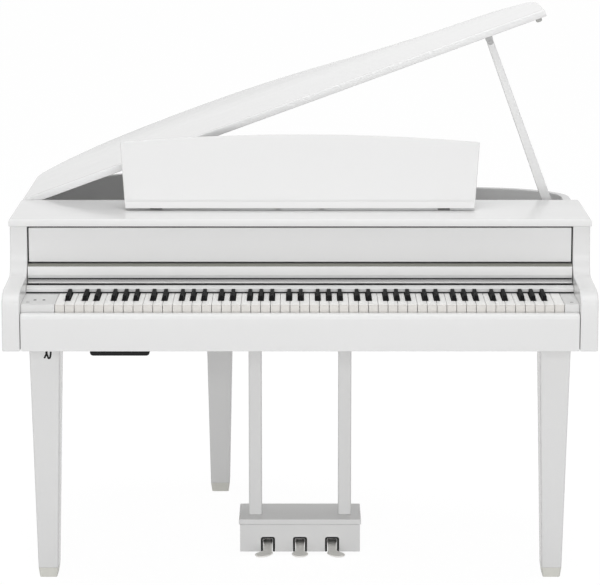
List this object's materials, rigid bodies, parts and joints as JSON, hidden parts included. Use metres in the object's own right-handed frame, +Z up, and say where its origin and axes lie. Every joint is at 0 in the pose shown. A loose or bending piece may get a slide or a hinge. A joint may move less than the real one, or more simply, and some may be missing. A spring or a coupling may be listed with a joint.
{
  "type": "digital grand piano",
  "caption": "White digital piano in a small grand's case, lid up on its prop, with a music desk, sliding key cover, turned-down key ends, tapered legs and a pedal lyre.",
  "frame": {"origin": "on the floor under the middle of the whole piano", "axes": "+Z up, the player sits at -Y and faces +Y, the bass keys are at -X and the treble keys at +X"},
  "size_m": [1.43, 1.23, 1.4057],
  "materials": {
    "lacquer": "polished white polyester lacquer on board",
    "block_paint": "satin light grey paint",
    "bare_board": "bare board",
    "black_board": "board with black cloth",
    "key_white": "ivory-like key tops, satin",
    "key_black": "ebony-like, matt",
    "cream_cap": "satin cream plastic",
    "pedal_metal": "polished, plated",
    "hinge_steel": "plated",
    "black_plastic": "fine grain black",
    "grey_button": "satin grey",
    "circuit": "green solder mask"
  },
  "bodies": {
    "case": {"rim": "lacquer", "crossbeam": "lacquer", "left_arm": "lacquer", "right_arm": "lacquer", "keybed": "bare_board", "bottom_board": "bare_board", "key_slip": "lacquer", "name_board": "lacquer", "top_panel": "lacquer", "left_key_block": "block_paint", "right_key_block": "block_paint", "key_backstrip": "block_paint", "key_frame": "bare_board", "speaker_board": "black_board", "speaker_left": "black_plastic", "speaker_right": "black_plastic", "main_board": "circuit", "front_left_leg": "lacquer", "front_right_leg": "lacquer", "rear_leg": "lacquer", "front_left_foot": "cream_cap", "front_right_foot": "cream_cap", "rear_foot": "cream_cap", "left_lyre_post": "lacquer", "right_lyre_post": "lacquer", "pedal_box": "lacquer", "pedal_adjuster": "cream_cap", "headphone_hook": "black_plastic", "jack_box": "black_plastic", "lid_hinge": "hinge_steel", "prop_cup": "black_plastic"},
    "lid": {"lid": "lacquer"},
    "prop": {"lid_prop": "lacquer"},
    "desk": {"music_desk": "lacquer"},
    "stay": {"desk_stay": "hinge_steel"},
    "cover": {"key_cover_panel": "lacquer", "key_cover_nose": "lacquer"},
    "left_pedal": {"left_pedal": "pedal_metal"},
    "middle_pedal": {"middle_pedal": "pedal_metal"},
    "right_pedal": {"right_pedal": "pedal_metal"},
    "left_button_1": {"left_button_1": "grey_button"},
    "left_button_2": {"left_button_2": "grey_button"},
    "left_button_3": {"left_button_3": "grey_button"},
    "power_button": {"power_button": "grey_button"},
    "white_bass": {"white_keys_bass": "key_white"},
    "white_treble": {"white_keys_treble": "key_white"},
    "black_bass": {"black_keys_bass": "key_black"},
    "black_treble": {"black_keys_treble": "key_black"},
    "key_c": {"key_c": "key_white"},
    "key_d": {"key_d": "key_white"},
    "key_e": {"key_e": "key_white"},
    "key_f": {"key_f": "key_white"},
    "key_g": {"key_g": "key_white"},
    "key_a": {"key_a": "key_white"},
    "key_b": {"key_b": "key_white"},
    "key_c_sharp": {"key_c_sharp": "key_black"},
    "key_d_sharp": {"key_d_sharp": "key_black"},
    "key_f_sharp": {"key_f_sharp": "key_black"},
    "key_g_sharp": {"key_g_sharp": "key_black"},
    "key_a_sharp": {"key_a_sharp": "key_black"}
  },
  "joints": [
    {"name": "lid_open", "type": "hinge", "parent": "case", "child": "lid", "pos_m": [-0.707, -0.015, 0.902], "axis": [0, -1, 0], "range_deg": [-20.14, 0]},
    {"name": "prop_fold", "type": "hinge", "parent": "lid", "child": "prop", "pos_m": [0.48458, -0.045, 1.32196], "axis": [0, -1, 0], "range_deg": [-90, 0]},
    {"name": "desk_fold", "type": "hinge", "parent": "case", "child": "desk", "pos_m": [0, -0.243, 0.9265], "axis": [-1, 0, 0], "range_deg": [0, 70]},
    {"name": "stay_fold", "type": "hinge", "parent": "case", "child": "stay", "pos_m": [0, -0.181, 0.9225], "axis": [-1, 0, 0], "range_deg": [0, 110.81]},
    {"name": "cover_slide", "type": "slide", "parent": "case", "child": "cover", "axis": [0, -0.9992, -0.04], "range_m": [0, 0.185]},
    {"name": "left_pedal_press", "type": "hinge", "parent": "case", "child": "left_pedal", "pos_m": [-0.083, -0.085, 0.028], "axis": [1, 0, 0], "range_deg": [0, 4.5], "stiffness_Nm_per_rad": 40, "springref_deg": -2.29},
    {"name": "middle_pedal_press", "type": "hinge", "parent": "case", "child": "middle_pedal", "pos_m": [0, -0.085, 0.028], "axis": [1, 0, 0], "range_deg": [0, 4.5], "stiffness_Nm_per_rad": 40, "springref_deg": -2.29},
    {"name": "right_pedal_press", "type": "hinge", "parent": "case", "child": "right_pedal", "pos_m": [0.083, -0.085, 0.028], "axis": [1, 0, 0], "range_deg": [0, 4.5], "stiffness_Nm_per_rad": 40, "springref_deg": -2.29},
    {"name": "left_button_1_press", "type": "slide", "parent": "case", "child": "left_button_1", "axis": [0, 0, -1], "range_m": [0, 0.0008], "stiffness_N_per_m": 300, "springref_m": -0.002},
    {"name": "left_button_2_press", "type": "slide", "parent": "case", "child": "left_button_2", "axis": [0, 0, -1], "range_m": [0, 0.0008], "stiffness_N_per_m": 300, "springref_m": -0.002},
    {"name": "left_button_3_press", "type": "slide", "parent": "case", "child": "left_button_3", "axis": [0, 0, -1], "range_m": [0, 0.0008], "stiffness_N_per_m": 300, "springref_m": -0.002},
    {"name": "power_button_press", "type": "slide", "parent": "case", "child": "power_button", "axis": [0, 0, -1], "range_m": [0, 0.0008], "stiffness_N_per_m": 300, "springref_m": -0.002},
    {"name": "white_bass_press", "type": "hinge", "parent": "case", "child": "white_bass", "pos_m": [0, -0.365, 0.7325], "axis": [1, 0, 0], "range_deg": [0, 2.62], "stiffness_Nm_per_rad": 46, "springref_deg": -5.73},
    {"name": "white_treble_press", "type": "hinge", "parent": "case", "child": "white_treble", "pos_m": [0, -0.365, 0.7325], "axis": [1, 0, 0], "range_deg": [0, 2.62], "stiffness_Nm_per_rad": 44, "springref_deg": -5.73},
    {"name": "black_bass_press", "type": "hinge", "parent": "case", "child": "black_bass", "pos_m": [0, -0.365, 0.7325], "axis": [1, 0, 0], "range_deg": [0, 3.1], "stiffness_Nm_per_rad": 24, "springref_deg": -5.73},
    {"name": "black_treble_press", "type": "hinge", "parent": "case", "child": "black_treble", "pos_m": [0, -0.365, 0.7325], "axis": [1, 0, 0], "range_deg": [0, 3.1], "stiffness_Nm_per_rad": 22.5, "springref_deg": -5.73},
    {"name": "key_c_press", "type": "hinge", "parent": "case", "child": "key_c", "pos_m": [0, -0.365, 0.7325], "axis": [1, 0, 0], "range_deg": [0, 2.62], "stiffness_Nm_per_rad": 2, "springref_deg": -5.73},
    {"name": "key_d_press", "type": "hinge", "parent": "case", "child": "key_d", "pos_m": [0, -0.365, 0.7325], "axis": [1, 0, 0], "range_deg": [0, 2.62], "stiffness_Nm_per_rad": 2, "springref_deg": -5.73},
    {"name": "key_e_press", "type": "hinge", "parent": "case", "child": "key_e", "pos_m": [0, -0.365, 0.7325], "axis": [1, 0, 0], "range_deg": [0, 2.62], "stiffness_Nm_per_rad": 2, "springref_deg": -5.73},
    {"name": "key_f_press", "type": "hinge", "parent": "case", "child": "key_f", "pos_m": [0, -0.365, 0.7325], "axis": [1, 0, 0], "range_deg": [0, 2.62], "stiffness_Nm_per_rad": 2, "springref_deg": -5.73},
    {"name": "key_g_press", "type": "hinge", "parent": "case", "child": "key_g", "pos_m": [0, -0.365, 0.7325], "axis": [1, 0, 0], "range_deg": [0, 2.62], "stiffness_Nm_per_rad": 2, "springref_deg": -5.73},
    {"name": "key_a_press", "type": "hinge", "parent": "case", "child": "key_a", "pos_m": [0, -0.365, 0.7325], "axis": [1, 0, 0], "range_deg": [0, 2.62], "stiffness_Nm_per_rad": 2, "springref_deg": -5.73},
    {"name": "key_b_press", "type": "hinge", "parent": "case", "child": "key_b", "pos_m": [0, -0.365, 0.7325], "axis": [1, 0, 0], "range_deg": [0, 2.62], "stiffness_Nm_per_rad": 2, "springref_deg": -5.73},
    {"name": "key_c_sharp_press", "type": "hinge", "parent": "case", "child": "key_c_sharp", "pos_m": [0, -0.365, 0.7325], "axis": [1, 0, 0], "range_deg": [0, 3.1], "stiffness_Nm_per_rad": 1.5, "springref_deg": -5.73},
    {"name": "key_d_sharp_press", "type": "hinge", "parent": "case", "child": "key_d_sharp", "pos_m": [0, -0.365, 0.7325], "axis": [1, 0, 0], "range_deg": [0, 3.1], "stiffness_Nm_per_rad": 1.5, "springref_deg": -5.73},
    {"name": "key_f_sharp_press", "type": "hinge", "parent": "case", "child": "key_f_sharp", "pos_m": [0, -0.365, 0.7325], "axis": [1, 0, 0], "range_deg": [0, 3.1], "stiffness_Nm_per_rad": 1.5, "springref_deg": -5.73},
    {"name": "key_g_sharp_press", "type": "hinge", "parent": "case", "child": "key_g_sharp", "pos_m": [0, -0.365, 0.7325], "axis": [1, 0, 0], "range_deg": [0, 3.1], "stiffness_Nm_per_rad": 1.5, "springref_deg": -5.73},
    {"name": "key_a_sharp_press", "type": "hinge", "parent": "case", "child": "key_a_sharp", "pos_m": [0, -0.365, 0.7325], "axis": [1, 0, 0], "range_deg": [0, 3.1], "stiffness_Nm_per_rad": 1.5, "springref_deg": -5.73}
  ],
  "couplings": [
    {"joint": "prop_fold", "follows": "lid_open", "ratio": 4.4687},
    {"joint": "stay_fold", "follows": "desk_fold", "ratio": 1.583}
  ]
}
